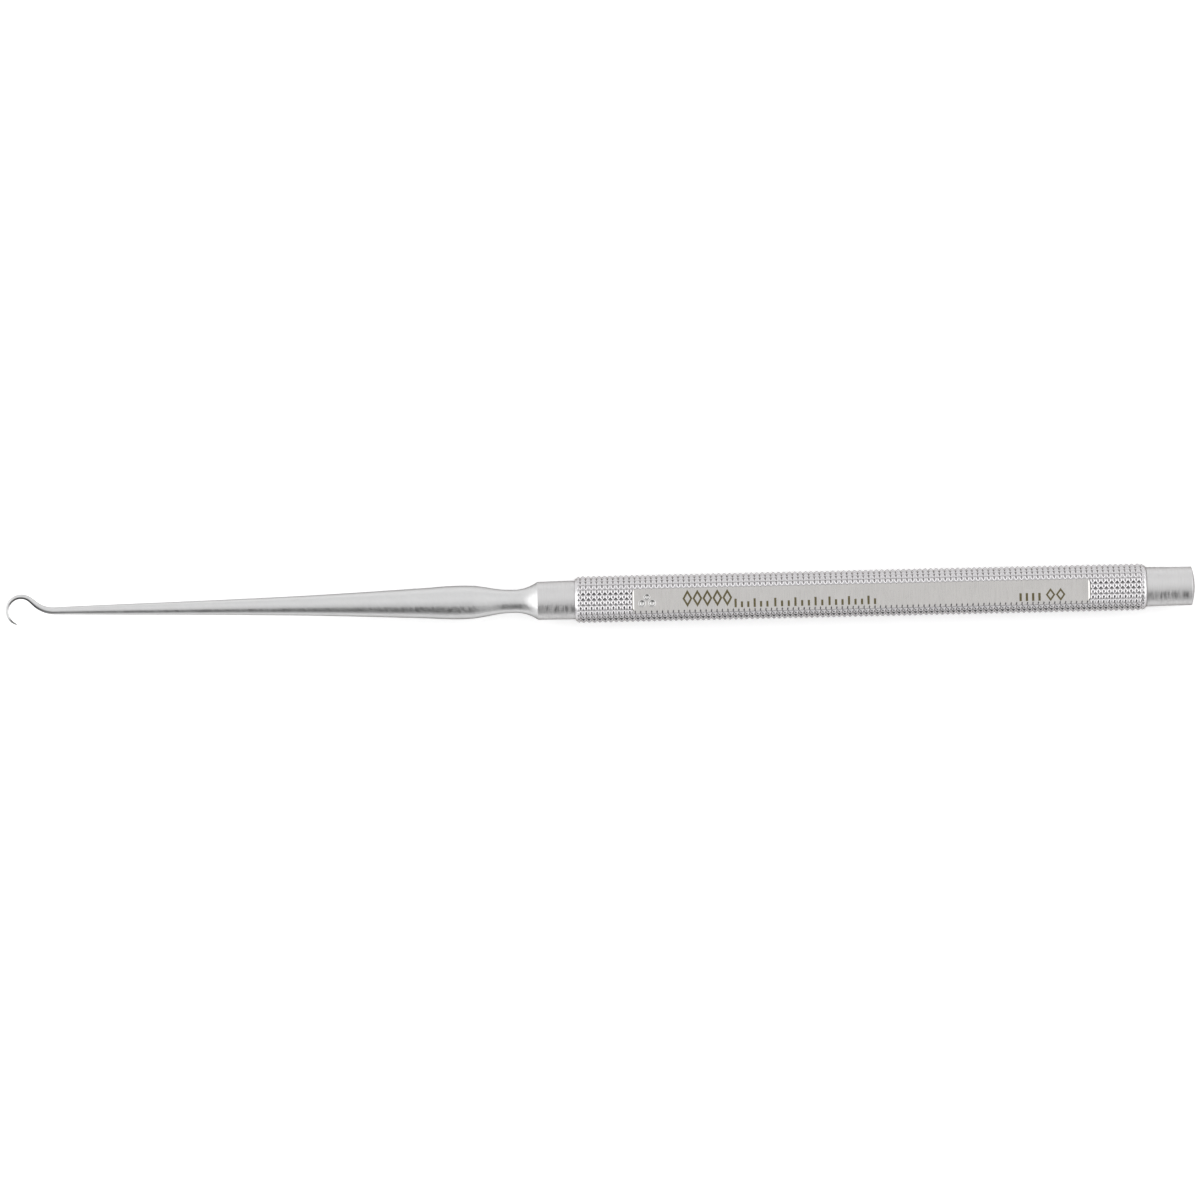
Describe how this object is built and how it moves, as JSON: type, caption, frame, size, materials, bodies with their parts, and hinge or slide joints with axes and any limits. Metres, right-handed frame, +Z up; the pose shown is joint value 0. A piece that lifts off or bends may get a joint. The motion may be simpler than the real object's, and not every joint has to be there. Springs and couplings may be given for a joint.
{
  "type": "surgical hook",
  "caption": "Single-prong tissue hook: small sharp curled hook on a tapered shank, with a round knurled handle that has a milled flat.",
  "frame": {"origin": "on the supporting surface, under the middle of the overall length, on the handle's axis", "axes": "+X along the handle towards the plain tail, +Y towards the side the hook arches to, +Z up out of the milled flat"},
  "size_m": [0.165, 0.0066, 0.0066],
  "materials": {
    "turned_steel": "satin, fine turning marks",
    "knurled_steel": "satin, cross knurl",
    "silver_braze": "satin silver braze"
  },
  "bodies": {
    "root": {"hook_shank": "turned_steel", "handle_barrel": "knurled_steel", "tail_plug": "turned_steel", "front_braze_ring": "silver_braze", "rear_braze_ring": "silver_braze"}
  },
  "joints": []
}
